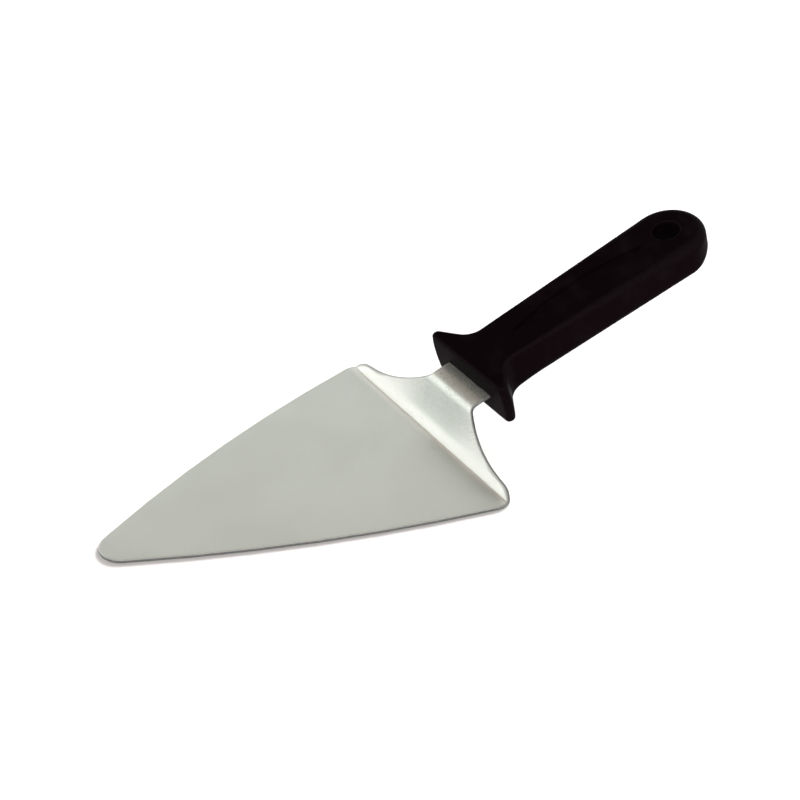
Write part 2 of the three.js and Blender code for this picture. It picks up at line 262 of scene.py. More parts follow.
def refined(points, spacing):
    """The same line with each side that is longer than spacing cut into equal parts."""
    lengths = np.linalg.norm(np.diff(points, axis=0), axis=1)
    parts = np.maximum(np.ceil(lengths / spacing - SAME_PLACE), 1.0).astype(int)
    along = np.append(0.0, np.cumsum(lengths))
    side = np.repeat(np.arange(len(parts)), parts)
    step = np.arange(len(side)) - np.repeat(np.cumsum(parts) - parts, parts)
    stops = np.append(along[side] + lengths[side] * step / parts[side], along[-1])
    return np.stack([np.interp(stops, along, points[:, k]) for k in (0, 1)], axis=1)


def inward_normals(points):
    """Unit normals on the right of a line that starts and ends square to the axis.

    The direction at a point is the mean of the directions of its two sides, turned right by a quarter.
    """
    ahead = np.diff(points, axis=0)
    ahead /= np.linalg.norm(ahead, axis=1)[:, None]
    along = np.concatenate([[[0.0, 1.0]], ahead[:-1] + ahead[1:], [[0.0, -1.0]]])
    along /= np.linalg.norm(along, axis=1)[:, None]
    return np.stack([along[:, 1], -along[:, 0]], axis=1)


class Crank:
    """Middle of the sheet seen from the side, as place and slope against developed length.

    The slope grows evenly through the crease and falls evenly through the bend, where it is also
    averaged over the ease on both sides. Above the crease, the foot's extra slope dies away by e for
    every half of the curve's length. The place is the running sum of the slope's cosine and sine.
    """

    def __init__(self, blade):
        lengths = [
            (blade.crease + blade.sheet / 2) * blade.ramp_foot,
            blade.ramp_curve,
            blade.ramp_flat,
            blade.bend * (blade.ramp_head - blade.tilt),
            blade.tang_showing,
            blade.key_length,
        ]
        start = -blade.crease * tan(blade.ramp_foot / 2)
        self.knots = start + np.append(0.0, np.cumsum(lengths))
        self.guard = self.knots[-2]
        fine_step = 1e-5
        self.s = np.arange(-blade.length, self.knots[-1] + fine_step, fine_step)
        bend = np.interp(self.s, self.knots[3:5], [blade.ramp_head, blade.tilt])
        reach = int(round(blade.bend_ease / fine_step))
        total = np.cumsum(np.pad(bend, (reach + 1, reach), mode="edge"))
        eased = (total[2 * reach + 1:] - total[:-2 * reach - 1]) / (2 * reach + 1)
        creased = np.interp(self.s, self.knots[:2], [0.0, 1.0])
        fading = np.exp(-np.maximum(self.s - self.knots[1], 0.0) / (blade.ramp_curve / 2))
        self.slope = creased * (eased + (blade.ramp_foot - blade.ramp_head) * fading)
        middle = (self.slope[1:] + self.slope[:-1]) / 2
        tip_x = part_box("blade")[0][0]
        self.x = tip_x + np.append(0.0, np.cumsum(np.cos(middle))) * fine_step
        self.z = blade.sheet / 2 + np.append(0.0, np.cumsum(np.sin(middle))) * fine_step

    def wrap(self, s, y, height):
        """Points of the flat pattern, height above the sheet's middle, bent along the crank."""
        slope = np.interp(s, self.s, self.slope)
        x = np.interp(s, self.s, self.x) - height * np.sin(slope)
        z = np.interp(s, self.s, self.z) + height * np.cos(slope)
        return np.stack([x, y, z], axis=-1)

    def seat(self, points):
        """Points of the handle's frame, turned by the tang's slope and set on the guard's place."""
        slope = self.slope[-1]
        u, v, w = points[..., 0], points[..., 1], points[..., 2]
        x = np.interp(self.guard, self.s, self.x) + u * cos(slope) - w * sin(slope)
        z = np.interp(self.guard, self.s, self.z) + u * sin(slope) + w * cos(slope)
        return np.stack([x, v, z], axis=-1)


def grid_faces(rows, columns):
    """Four-cornered faces of a grid of points that are numbered row by row."""
    corner = np.arange(rows * columns).reshape(rows, columns)
    corners = [corner[:-1, :-1], corner[:-1, 1:], corner[1:, 1:], corner[1:, :-1]]
    return np.stack(corners, axis=-1).reshape(-1, 4)


class Patches:
    """Grids of points that together close a surface, with a mark from 0 to 1 on every point."""

    def __init__(self):
        self.points = []
        self.marks = []
        self.faces = []
        self.count = 0

    def add(self, points, marks=0.0, leave_out=None):
        """A grid of points, less the faces that leave_out flags."""
        rows, columns = points.shape[:2]
        faces = grid_faces(rows, columns)
        if leave_out is not None:
            faces = faces[~leave_out.ravel()]
        self.points.append(points.reshape(-1, 3))
        self.marks.append(np.broadcast_to(marks, (rows, columns)).ravel())
        self.faces.append(faces + self.count)
        self.count += rows * columns

    def add_mirrored(self):
        """The same patches again on the other side of the plane y = 0."""
        points = np.concatenate(self.points)
        self.faces += [np.concatenate(self.faces)[:, ::-1] + self.count]
        self.points.append(points * np.array([1.0, -1.0, 1.0]))
        self.marks.append(np.concatenate(self.marks))
        self.count *= 2


def make_piece(name, patches, material):
    """An object of closed patches: doubles merged, normals outwards, smooth but for its sharp edges."""
    mesh = bpy.data.meshes.new(name)
    mesh.from_pydata(np.concatenate(patches.points).tolist(), [], np.concatenate(patches.faces).tolist())
    edge = mesh.attributes.new("edge", "FLOAT", "POINT")
    edge.data.foreach_set("value", np.concatenate(patches.marks).astype(np.float32))
    shape = bmesh.new()
    shape.from_mesh(mesh)
    bmesh.ops.remove_doubles(shape, verts=shape.verts, dist=SAME_PLACE)
    bmesh.ops.dissolve_degenerate(shape, edges=shape.edges, dist=SAME_PLACE)
    bmesh.ops.recalc_face_normals(shape, faces=shape.faces)
    if any(not line.is_manifold for line in shape.edges):
        raise RuntimeError(f"{name} isn't closed")
    shape.to_mesh(mesh)
    shape.free()
    mesh.shade_smooth()
    mesh.set_sharp_from_angle(angle=SHARP_TURN)
    mesh.materials.append(material)
    piece = bpy.data.objects.new(name, mesh)
    bpy.context.collection.objects.link(piece)
    return piece


def sheet_edge(blade, guard):
    """One edge of the flat pattern, from tip to tang's end, as developed length and half width."""
    tip = (-blade.length, blade.tip_radius * tan((radians(90) - blade.tip_angle) / 2))
    rear = (blade.corner_rise, blade.width / 2)
    root = (guard - blade.tang_parallel, blade.tang_width / 2)
    shoulder = guard + blade.key_shoulder
    narrowing = (blade.tang_width - blade.key_width) / 2
    end = guard + blade.key_length
    line = rounded_line([
        ((-blade.length, 0.0), 0.0),
        (tip, blade.tip_radius),
        (meet(tip, blade.tip_angle, rear, blade.rear_angle), None),
        (rear, blade.rear_radius),
        (meet(rear, -blade.neck_flare, root, -blade.neck_root), None),
        (root, blade.root_radius),
        ((shoulder, blade.tang_width / 2), blade.root_radius),
        ((shoulder + narrowing, blade.key_width / 2), blade.root_radius),
        ((end, blade.key_width / 2), blade.key_corner),
        ((end, 0.0), 0.0),
    ])
    return line[:-1]


# Rows of the sheet's flat, and of its crease, curved ramp, flat ramp, bend, bare tang and hidden tang
FLAT_ROWS = 80
CRANK_ROWS = (32, 40, 12, 40, 16, 30)
ROW_GAP = 4e-6  # rows are at least this far apart
FACE_COLUMNS = 9  # columns across a face, between its rims
EDGE_COLUMNS = 8  # columns round a rounded edge
SHEARED_FROM, SHEARED_TO = 0.7, 1.2  # radians round an edge where the sheared colour, partly painted shade, begins and is full
LEAST_SLANT = 0.1  # an edge that lies closer to the direction of the rows counts as this


def blade_surface(blade, crank):
    """Sheet with rounded edges: a loop across it, carried along its edge line and bent along the crank.

    At every point of the edge line a quarter circle, a short wall and another quarter circle run from
    the upper to the lower face, inwards along the normal of the edge. Straight rows join them across
    both faces. The edge mark is full on the wall, where it is partly painted shade, and fades over the rim
    of the neck, a painted shade outline that is widest at the rear corners.
    """
    edge = sheet_edge(blade, crank.guard)
    normals = inward_normals(edge)
    spans = zip(crank.knots[:-1], crank.knots[1:], CRANK_ROWS)
    bends = [np.linspace(start, end, rows) for start, end, rows in spans]
    flat = np.linspace(-blade.length, crank.knots[0], FLAT_ROWS)[1:]
    s = np.sort(np.concatenate([edge[:, 0], flat, *bends]))
    s = s[np.append(np.diff(s) > ROW_GAP, True)]
    s[0] = edge[0, 0]
    half = np.interp(s, edge[:, 0], edge[:, 1])
    inward = np.stack([np.interp(s, edge[:, 0], normals[:, k]) for k in (0, 1)], axis=1)
    inward /= np.linalg.norm(inward, axis=1)[:, None]

    turn = np.linspace(0.0, radians(90), EDGE_COLUMNS)
    depth = blade.edge_round * np.concatenate([1 - np.sin(turn), 1 - np.sin(turn[::-1])])
    rise = blade.sheet / 2 - blade.edge_round * (1 - np.cos(turn))
    height = np.concatenate([rise, -rise[::-1]])
    profile_s = s[:, None] + inward[:, :1] * depth
    profile_y = half[:, None] + inward[:, 1:] * depth

    at_corner = 1 - soft_share(np.abs(s - blade.corner_rise), 0.0, blade.rear_radius / 2)
    rim = (blade.rim + blade.rim_corner * at_corner) / np.maximum(np.abs(inward[:, 1]), LEAST_SLANT)
    margin = np.minimum(rim[:, None], profile_y[:, :1] / 2)
    inner = profile_y[:, :1] - margin
    shares = np.linspace(-1.0, 1.0, FACE_COLUMNS)
    across = np.concatenate([-profile_y[:, :1], inner * shares, profile_y[:, :1]], axis=1)
    face_s = np.broadcast_to(profile_s[:, :1], across.shape)
    face_height = np.full(across.shape, blade.sheet / 2)

    loop_s = np.concatenate([face_s, profile_s, face_s, profile_s[:, ::-1]], axis=1)
    loop_y = np.concatenate([across, profile_y, across[:, ::-1], -profile_y[:, ::-1]], axis=1)
    rows_high = np.broadcast_to(height, profile_s.shape)
    loop_height = np.concatenate([face_height, rows_high, -face_height, rows_high[:, ::-1]], axis=1)
    sheared_and_shade = soft_share(turn, SHEARED_FROM, SHEARED_TO)
    wall = np.concatenate([sheared_and_shade, sheared_and_shade[::-1]])
    # painted shade: a rim of the dark edge colour on the neck's face, none on the flat
    rim_mark = blade.rim_mark * soft_share(s, -blade.rear_radius, 0.0)[:, None]
    face_mark = np.zeros(across.shape)
    face_mark[:, [0, -1]] = rim_mark
    wall_mark = np.maximum(wall, rim_mark)
    loop_mark = np.concatenate([face_mark, wall_mark, face_mark, wall_mark[:, ::-1]], axis=1)

    patches = Patches()
    patches.add(crank.wrap(loop_s, loop_y, loop_height), loop_mark)
    end_s = np.broadcast_to(profile_s[-1][:, None], (len(height), across.shape[1]))
    end_y = np.broadcast_to(across[-1], end_s.shape)
    patches.add(crank.wrap(end_s, end_y, np.broadcast_to(height[:, None], end_s.shape)), wall[:, None])
    return patches


# Columns of the handle's lower edge, side wall, upper edge, top outside the recess, recess and underside
LOW_COLUMNS = 12
WALL_COLUMNS = 13
HIGH_COLUMNS = 14
TOP_COLUMNS = 25
RECESS_WALL_COLUMNS = 14
RECESS_FLOOR_COLUMNS = 13
BOTTOM_COLUMNS = 10
LIP_COLUMNS = 8  # columns round each rim of the hanging hole
BORE_COLUMNS = 5  # columns along its wall
OUTLINE_GAP = 0.0007  # points of the outline are at most this far apart
EDGE_EASE = 0.006  # the upper edge's growth is eased this far on both sides of its start and end
WING_ROUND_SHARE, WING_TIP_SHARE = 0.9, 0.45  # most that edges take of a wing's rounding and of its tip
SLOT_ROOM = 0.02  # columns of the wall keep this share of its height off the slot
RECESS_ROOM = 0.15  # share of the recess's wall by which its close columns reach past it


def handle_edge(handle, slot_half):
    """One side of the handle seen from above, from the middle of the guard's face to the round end."""
    end_radius = handle.end_width / 2
    back = (handle.wing_tip, handle.guard_width / 2)
    neck = meet(back, -handle.wing_angle, (0.0, handle.neck_width / 2), 0.0)
    to_end = np.subtract((hole_place(handle), 0.0), neck)
    grip_angle = np.arcsin(end_radius / np.linalg.norm(to_end)) + np.arctan2(to_end[1], to_end[0])
    line = rounded_line([
        ((0.0, 0.0), 0.0),
        ((0.0, slot_half), 0.0),
        ((0.0, handle.guard_width / 2), handle.wing_round),
        (back, None),
        (neck, handle.flare),
        (meet(neck, grip_angle, (handle.length, 0.0), radians(90)), end_radius),
        ((handle.length, 0.0), 0.0),
    ])
    return refined(line, OUTLINE_GAP)


def hole_place(handle):
    """Place of the hanging hole along the handle, which is the middle of the round end."""
    return handle.length - handle.end_width / 2


def topside(handle, u):
    """Height of the handle's top at places along it: the guard's passes softly into the grip's slope."""
    grip = handle.grip_top + tan(handle.top_rise) * u
    return handle.guard_top + (grip - handle.guard_top) * soft_share(u, 0.0, handle.guard_fade)


def underside(handle, u):
    """Height of the handle's underside at places along it."""
    return tan(handle.bottom_rise) * u - handle.bottom


def eased_ramp(value, start, end, blend):
    """Share from 0 to 1 that grows evenly from start to end, with parabolas round both corners.

    It is the difference of two bent lines, each 0 before its corner and the distance from it after.
    """
    def bent(x):
        return np.clip(x + blend, 0.0, 2 * blend) ** 2 / (4 * blend) + np.maximum(x - blend, 0.0)

    return (bent(value - start) - bent(value - end)) / (end - start)


def leaf_half(handle, u):
    """Half width of the thumb recess at places along the handle: the height of an arc over its chord."""
    half = handle.leaf_length / 2
    radius = (half ** 2 + handle.leaf_width ** 2 / 4) / handle.leaf_width
    along = np.clip(np.abs(u - handle.leaf_start - half), 0.0, half)
    return np.sqrt(radius ** 2 - along ** 2) - np.sqrt(radius ** 2 - half ** 2)


def handle_side(handle, edge, slot_high):
    """Side walls, the mark of wear and painted highlight on their edges, and the column where the slot of
    the tang begins.

    A quarter circle rises from the underside at every point of the outline, then a wall with the slot's
    two heights in it, and then a quarter circle to the top, both inwards along the outline's normal. A
    wing's end bulges by the crown times 1 less the square of the level, -1 at the bottom and 1 at the top.
    """
    u = edge[:, 0]
    hole_u = hole_place(handle)
    rim = min(handle.wing_edge, WING_ROUND_SHARE * handle.wing_round, WING_TIP_SHARE * handle.wing_tip)
    upper = rim + (handle.end_top_edge - rim) * eased_ramp(u, handle.guard_fade, hole_u, EDGE_EASE)
    wing_end = handle.wing_tip + handle.guard_width / 2
    lower = rim + (handle.grip_edge - rim) * soft_share(u, handle.wing_tip, wing_end)
    lower += (handle.end_edge - lower) * soft_share(u, hole_u, handle.length)

    turn_low = np.linspace(radians(90), 0.0, LOW_COLUMNS)
    turn_high = np.linspace(0.0, radians(90), HIGH_COLUMNS)
    low = underside(handle, u) + lower
    high = topside(handle, u) - upper
    slot_shares = (np.array([-slot_high, slot_high]) - low[0]) / (high[0] - low[0])
    even = np.linspace(0.0, 1.0, WALL_COLUMNS)[1:-1]
    outside = (even < slot_shares[0] - SLOT_ROOM) | (even > slot_shares[1] + SLOT_ROOM)
    shares = np.sort(np.concatenate([even[outside], slot_shares]))
    drawn_in = np.concatenate([
        lower[:, None] * (1 - np.cos(turn_low)),
        np.zeros((len(u), len(shares))),
        upper[:, None] * (1 - np.cos(turn_high)),
    ], axis=1)
    wall = edge[:, None, :] + inward_normals(edge)[:, None, :] * drawn_in[..., None]
    wall_w = np.concatenate([
        underside(handle, wall[:, :LOW_COLUMNS, 0]) + lower[:, None] * (1 - np.sin(turn_low)),
        low[:, None] + (high - low)[:, None] * shares,
        topside(handle, wall[:, -HIGH_COLUMNS:, 0]) - upper[:, None] * (1 - np.sin(turn_high)),
    ], axis=1)
    below, above = underside(handle, wall[..., 0]), topside(handle, wall[..., 0])
    level = (2 * wall_w - above - below) / (above - below)
    on_wing = soft_share(np.abs(wall[..., 1]), handle.neck_width / 2, handle.guard_width / 2)
    wall_v = wall[..., 1] + handle.wing_crown * on_wing * (1 - level ** 2)
    # mark for wear and a painted highlight, strongest midway round each rounding
    mark = np.concatenate([np.sin(2 * turn_low), np.zeros(len(shares)), np.sin(2 * turn_high)])
    slot_column = LOW_COLUMNS + int(np.searchsorted(shares, slot_shares[0]))
    return np.stack([wall[..., 0], wall_v, wall_w], axis=-1), mark, slot_column


def inner_line(handle, ring):
    """Line that top and bottom run in to: the middle of the handle, and then half of the hole's rim.

    It has a point for each point of the ring. Also gives, for each, the nearest row that stands square
    to the axis, and the angles round the hole's middle of the points on its rim.
    """
    hole_u = hole_place(handle)
    rim_radius = handle.hole + handle.hole_lip
    along = np.append(0.0, np.cumsum(np.linalg.norm(np.diff(ring, axis=0), axis=1)))
    first_square = int(np.argmax(ring[:, 0] > handle.guard_fade))
    split = int(np.argmax(ring[:, 0] > hole_u - rim_radius))
    middle_u = ring[:, 0].copy()
    middle_u[:first_square] = ring[0, 0] + (ring[first_square, 0] - ring[0, 0]) * (
        along[:first_square] / along[first_square]
    )
    turned = np.pi * (1 - (along[split:] - along[split]) / (along[-1] - along[split]))
    inner = np.stack([middle_u, np.zeros(len(ring))], axis=1)
    inner[split:, 0] = hole_u + rim_radius * np.cos(turned)
    inner[split:, 1] = rim_radius * np.sin(turned)
    inner[-1, 1] = 0.0
    return inner, np.clip(np.arange(len(ring)), first_square, split - 1), turned


def cover(outer, inner, share):
    """Rows from an outer ring straight to an inner line, as places along and across."""
    return outer[:, None, :] * (1 - share[..., None]) + inner[:, None, :] * share[..., None]


def handle_top(handle, ring, inner, square):
    """Flat top with the thumb recess, which is let in softly over the width of its wall.

    Its columns are even to the recess, close down the recess's wall and even over its floor.
    """
    wall_half = np.maximum(leaf_half(handle, ring[:, 0]), 2 * handle.leaf_wall)
    down_wall = np.linspace(-RECESS_ROOM, 1 + RECESS_ROOM, RECESS_WALL_COLUMNS) * handle.leaf_wall
    steps = np.linspace(0.0, 1.0, TOP_COLUMNS)[:-1]
    outer_v = ring[:, 1:] + (wall_half[:, None] - down_wall[0] - ring[:, 1:]) * steps
    wall_v = wall_half[:, None] - down_wall
    floor_v = wall_v[:, -1:] * np.linspace(1.0, 0.0, RECESS_FLOOR_COLUMNS)[1:]
    column_v = np.concatenate([outer_v, wall_v, floor_v], axis=1)
    top = cover(ring, inner, 1 - (column_v / np.maximum(ring[:, 1:], SAME_PLACE))[square])
    inside = leaf_half(handle, top[..., 0]) - np.abs(top[..., 1])
    recess = handle.leaf_depth * soft_share(inside, 0.0, handle.leaf_wall)
    top_w = topside(handle, top[..., 0]) - recess
    return np.concatenate([top, top_w[..., None]], axis=-1)


def handle_bottom(handle, ring, inner):
    """Flat underside, from its ring straight to the inner line."""
    share = np.broadcast_to(np.linspace(0.0, 1.0, BOTTOM_COLUMNS), (len(ring), BOTTOM_COLUMNS))
    bottom = cover(ring, inner, share)
    return np.concatenate([bottom, underside(handle, bottom[..., :1])], axis=-1)


def hanging_hole(handle, turned):
    """Half of the hanging hole at angles round it, and the mark of wear and painted highlight on its rims.

    A quarter circle turns down from the top, a straight wall goes on and a quarter circle turns out
    into the underside.
    """
    lip = np.linspace(0.0, radians(90), LIP_COLUMNS)
    bore = np.ones(BORE_COLUMNS)
    rim = np.zeros(LIP_COLUMNS)
    reach = handle.hole + handle.hole_lip * (1 - np.concatenate([np.sin(lip), bore, np.sin(lip[::-1])]))
    hole_u = hole_place(handle) + np.cos(turned)[:, None] * reach
    hole_v = np.sin(turned)[:, None] * reach
    hole_v[[0, -1]] = 0.0
    drop = handle.hole_lip * (1 - np.cos(lip))
    down = np.linspace(0.0, 1.0, BORE_COLUMNS + 2)[1:-1]
    share = np.concatenate([rim, down, np.ones(LIP_COLUMNS)])
    from_top = np.concatenate([drop, bore * handle.hole_lip, rim])
    from_floor = np.concatenate([rim, bore * handle.hole_lip, drop[::-1]])
    upper = topside(handle, hole_u) - from_top
    lower = underside(handle, hole_u) + from_floor
    hole_w = upper * (1 - share) + lower * share
    # mark for wear and a painted highlight, strongest midway round each rim
    mark = np.concatenate([np.sin(2 * lip), np.zeros(BORE_COLUMNS), np.sin(2 * lip[::-1])])
    return np.stack([hole_u, hole_v, hole_w], axis=-1), mark


def tang_pocket(handle, blade, lips, slot_half):
    """Walls and back of the tang's pocket: the slot's lips, carried inwards and narrowed with the tang."""
    narrow = blade.key_shoulder + (blade.tang_width - blade.key_width) / 2
    depth = np.array([0.0, blade.key_shoulder, narrow, blade.key_length + handle.fit])
    narrowed = (blade.key_width / 2 + handle.fit) / slot_half
    wide = np.array([1.0, 1.0, narrowed, narrowed])
    mouth = np.concatenate([lips[:, 1], lips[::-1, 0]])
    pocket = np.repeat(mouth[None], len(depth), axis=0)
    pocket[..., 0] += depth[:, None]
    pocket[..., 1] *= wide[:, None]
    back = np.stack([pocket[-1, :len(lips)], pocket[-1, :len(lips) - 1:-1]])
    return pocket, back


def handle_surface(handle, blade, crank):
    """Moulded handle: side walls, flat top and bottom, the hanging hole and the pocket of the tang.

    The grids share the rows of one side's outline, so that they meet without gaps, and are mirrored.
    """
    slot_half = blade.tang_width / 2 + handle.fit
    slot_high = blade.sheet / 2 + handle.fit
    edge = handle_edge(handle, slot_half)
    side, side_mark, slot_column = handle_side(handle, edge, slot_high)
    slot_row = int(np.argmax(edge[:, 1] > slot_half - SAME_PLACE))
    slot = np.zeros((side.shape[0] - 1, side.shape[1] - 1), dtype=bool)
    slot[:slot_row, slot_column] = True

    ring = side[:, -1, :2]
    inner, square, turned = inner_line(handle, ring)
    hole, hole_mark = hanging_hole(handle, turned)
    lips = side[:slot_row + 1, slot_column:slot_column + 2]
    pocket, back = tang_pocket(handle, blade, lips, slot_half)

    patches = Patches()
    patches.add(crank.seat(side), side_mark, leave_out=slot)
    patches.add(crank.seat(handle_top(handle, ring, inner, square)))
    patches.add(crank.seat(handle_bottom(handle, side[:, 0, :2], inner)))
    patches.add(crank.seat(hole), hole_mark)
    patches.add(crank.seat(pocket))
    patches.add(crank.seat(back))
    patches.add_mirrored()
    return patches


def new_node(tree, kind, values=(), **settings):
    """A node of one kind with its settings and the values of its inputs, by socket name or number."""
    node = tree.nodes.new(kind)
    for name, value in settings.items():
        setattr(node, name, value)
    for socket, value in dict(values).items():
        if isinstance(value, bpy.types.NodeSocket):
            tree.links.new(value, node.inputs[socket])
        else:
            node.inputs[socket].default_value = value
    return node


def new_group(name, inputs, output):
    """An empty shader node group with float or vector inputs and one float output."""
    tree = bpy.data.node_groups.new(name, "ShaderNodeTree")
    for socket, default in inputs.items():
        kind = "NodeSocketVector" if default is None else "NodeSocketFloat"
        made = tree.interface.new_socket(name=socket, in_out="INPUT", socket_type=kind)
        if default is not None:
            made.default_value = default
    tree.interface.new_socket(name=output, in_out="OUTPUT", socket_type="NodeSocketFloat")
    return tree, tree.nodes.new("NodeGroupInput").outputs, tree.nodes.new("NodeGroupOutput").inputs


def noise(tree, place, scale, detail, roughness=0.5, distortion=0.0):
    """Output of a noise texture at a place."""
    look = {"Scale": scale, "Detail": detail, "Roughness": roughness, "Distortion": distortion}
    return new_node(tree, "ShaderNodeTexNoise", {"Vector": place, **look}).outputs["Fac"]


def calculated(tree, operation, *values):
    """Output of a node that does one calculation with its values."""
    return new_node(tree, "ShaderNodeMath", dict(enumerate(values)), operation=operation).outputs[0]


def mapped(tree, value, start=0.0, end=1.0, low=0.0, high=1.0, way="LINEAR"):
    """Output of a node that goes from low, where the value is start or before, to high at end."""
    limits = {"From Min": start, "From Max": end, "To Min": low, "To Max": high}
    node = new_node(tree, "ShaderNodeMapRange", {"Value": value, **limits}, interpolation_type=way)
    return node.outputs["Result"]


def softly(tree, value, *limits):
    """The same as mapped, but level at both ends."""
    return mapped(tree, value, *limits, way="SMOOTHSTEP")


def mixed_colour(tree, share, first, second):
    """Output of a node that mixes two colours by a share."""
    node = new_node(tree, "ShaderNodeMix", {0: share, 6: first, 7: second}, data_type="RGBA")
    return node.outputs[2]


def drawn_grain():
    """Group: fine streaks, a noise that is stretched by its own scales along and across the piece."""
    inputs = {"Vector": None, "Along": 20.0, "Across": 900.0}
    tree, given, put = new_group("drawn_grain", inputs, "Grain")
    across = given["Across"]
    scale = new_node(tree, "ShaderNodeCombineXYZ", {0: given["Along"], 1: across, 2: across}).outputs[0]
    place = new_node(tree, "ShaderNodeVectorMath", {0: given["Vector"], 1: scale}, operation="MULTIPLY")
    tree.links.new(noise(tree, place.outputs[0], scale=1.0, detail=3.0, roughness=0.6), put["Grain"])
    return tree


def soft_patches():
    """Group: broad uneven patches, a noise cut to the range between a low and a high value."""
    inputs = {"Vector": None, "Scale": 40.0, "Low": 0.4, "High": 0.7}
    tree, given, put = new_group("soft_patches", inputs, "Patches")
    uneven = noise(tree, given["Vector"], given["Scale"], detail=4.0, roughness=0.55, distortion=0.4)
    tree.links.new(mapped(tree, uneven, given["Low"], given["High"]), put["Patches"])
    return tree


def broken_edge_mark():
    """Group: the piece's own edge mark broken up by a noise, for worn and sheared edges and the painted
    highlight and shade on them.
    """
    inputs = {"Vector": None, "Edge": 0.0, "Scale": 400.0, "Evenness": 0.5}
    tree, given, put = new_group("broken_edge_mark", inputs, "Mark")
    uneven = noise(tree, given["Vector"], given["Scale"], detail=3.0)
    broken = mapped(tree, uneven, end=0.7, low=given["Evenness"])
    tree.links.new(calculated(tree, "MULTIPLY", given["Edge"], broken), put["Mark"])
    return tree


def place_effect(tree, maker, place, **values):
    """The output of a shared group, which is made when first asked for, placed with its own values."""
    group = bpy.data.node_groups.get(maker.__name__) or maker()
    return new_node(tree, "ShaderNodeGroup", {"Vector": place, **values}, node_tree=group).outputs[0]


def new_material(name):
    """A material with its node tree, its Principled shader, its object coordinates and the edge mark."""
    material = bpy.data.materials.new(name)
    material.use_nodes = True
    tree = material.node_tree
    place = new_node(tree, "ShaderNodeTexCoord").outputs["Object"]
    edge = new_node(tree, "ShaderNodeAttribute", attribute_name="edge").outputs["Fac"]
    return material, tree, tree.nodes["Principled BSDF"], place, edge


def link_looks(tree, shader, base, rough, bump):
    """Links a material's colour, roughness and bump to its shader."""
    tree.links.new(base, shader.inputs["Base Color"])
    tree.links.new(rough, shader.inputs["Roughness"])
    tree.links.new(bump.outputs["Normal"], shader.inputs["Normal"])


# Length along the sheet where the painted highlight of the crease begins, is full, begins to fade and ends
PAINTED_HIGHLIGHT_PLACES = (-0.0045, 0.0002, 0.0025, 0.0062)
PAINTED_HIGHLIGHT_WINGS = (0.008, 0.03)  # distances from the axis between which the painted highlight spreads up the ramp
SMUDGE_DULLS = 0.04  # roughness that a smudge adds
SHEARED_DULLS = 0.3  # roughness that a sheared edge adds


def satin_steel(finish, crank):
    """Rolled and stamped stainless sheet: fine lengthwise grain, faint smudges and a dull sheared edge,
    darkened further by painted shade.

    A painted highlight lightens its colour along the crease, and up the whole ramp towards both ends of the
    crease.
    """
    material, tree, shader, place, edge = new_material("satin_steel")
    grain = place_effect(tree, drawn_grain, place, Along=25.0, Across=1400.0)
    smudge = place_effect(tree, soft_patches, place, Scale=26.0, Low=0.42, High=0.78)
    matt = place_effect(tree, soft_patches, place, Scale=4000.0, Low=0.39, High=0.55)
    sheared_and_shade = place_effect(tree, broken_edge_mark, place, Edge=edge, Scale=900.0, Evenness=0.75)
    split = new_node(tree, "ShaderNodeSeparateXYZ", {0: place}).outputs
    aside = calculated(tree, "ABSOLUTE", split["Y"])
    # painted highlight: a lighter steel colour along the crease and up the ramp
    begins, full, fades, ends = np.interp(PAINTED_HIGHLIGHT_PLACES, crank.s, crank.x)
    rising = softly(tree, split["X"], begins, full)
    pressed = softly(tree, split["X"], fades, ends, rising, 0.0)
    painted_highlight = softly(tree, aside, *PAINTED_HIGHLIGHT_WINGS, pressed, rising)
    face = mixed_colour(tree, smudge, (*finish.steel, 1.0), (*finish.steel_smudge, 1.0))
    face = mixed_colour(tree, painted_highlight, face, (*finish.steel_bright, 1.0))
    # dark edge colour: partly the sheared steel, partly painted shade
    base = mixed_colour(tree, sheared_and_shade, face, (*finish.steel_edge, 1.0))
    satin = mapped(tree, matt, low=finish.steel_gloss, high=finish.steel_matt)
    satin = calculated(tree, "MULTIPLY_ADD", smudge, SMUDGE_DULLS, satin)
    rough = calculated(tree, "MULTIPLY_ADD", sheared_and_shade, SHEARED_DULLS, satin)
    bump = new_node(tree, "ShaderNodeBump", {"Strength": 0.06, "Distance": 0.0001, "Height": grain})
    link_looks(tree, shader, base, rough, bump)
    shader.inputs["Metallic"].default_value = 1.0
    return material


WEAR_AND_HIGHLIGHT_SHARE = 0.5  # how far wear, dust and the painted edge highlight take the plastic to their own colour
TEXTURE_SPREAD = 0.04  # how far the moulded texture takes the roughness up and down
RUBBING_SHINES = -0.06  # roughness that rubbing adds


def black_plastic(finish):
    """Black moulding: a fine spark-eroded texture, slightly worn edges lightened further by a painted
    highlight, and a trace of dust.
    """
    material, tree, shader, place, edge = new_material("moulded_black_plastic")
    texture = place_effect(tree, drawn_grain, place, Along=2600.0, Across=2600.0)
    dust = place_effect(tree, soft_patches, place, Scale=60.0, Low=0.5, High=0.85)
    # edge wear, lightened further as a painted highlight along the middle of each rounding
    wear_and_highlight = place_effect(tree, broken_edge_mark, place, Edge=edge, Scale=500.0, Evenness=0.4)
    share = mapped(tree, calculated(tree, "MAXIMUM", wear_and_highlight, dust), high=WEAR_AND_HIGHLIGHT_SHARE)
    base = mixed_colour(tree, share, (*finish.plastic, 1.0), (*finish.plastic_wear, 1.0))
    gloss = finish.plastic_gloss
    moulded = mapped(tree, texture, low=gloss - TEXTURE_SPREAD, high=gloss + TEXTURE_SPREAD)
    rough = calculated(tree, "MULTIPLY_ADD", wear_and_highlight, RUBBING_SHINES, moulded)
    bump = new_node(tree, "ShaderNodeBump", {"Strength": 0.12, "Distance": 0.00005, "Height": texture})
    link_looks(tree, shader, base, rough, bump)
    shader.inputs["Specular IOR Level"].default_value = finish.plastic_sheen
    return material


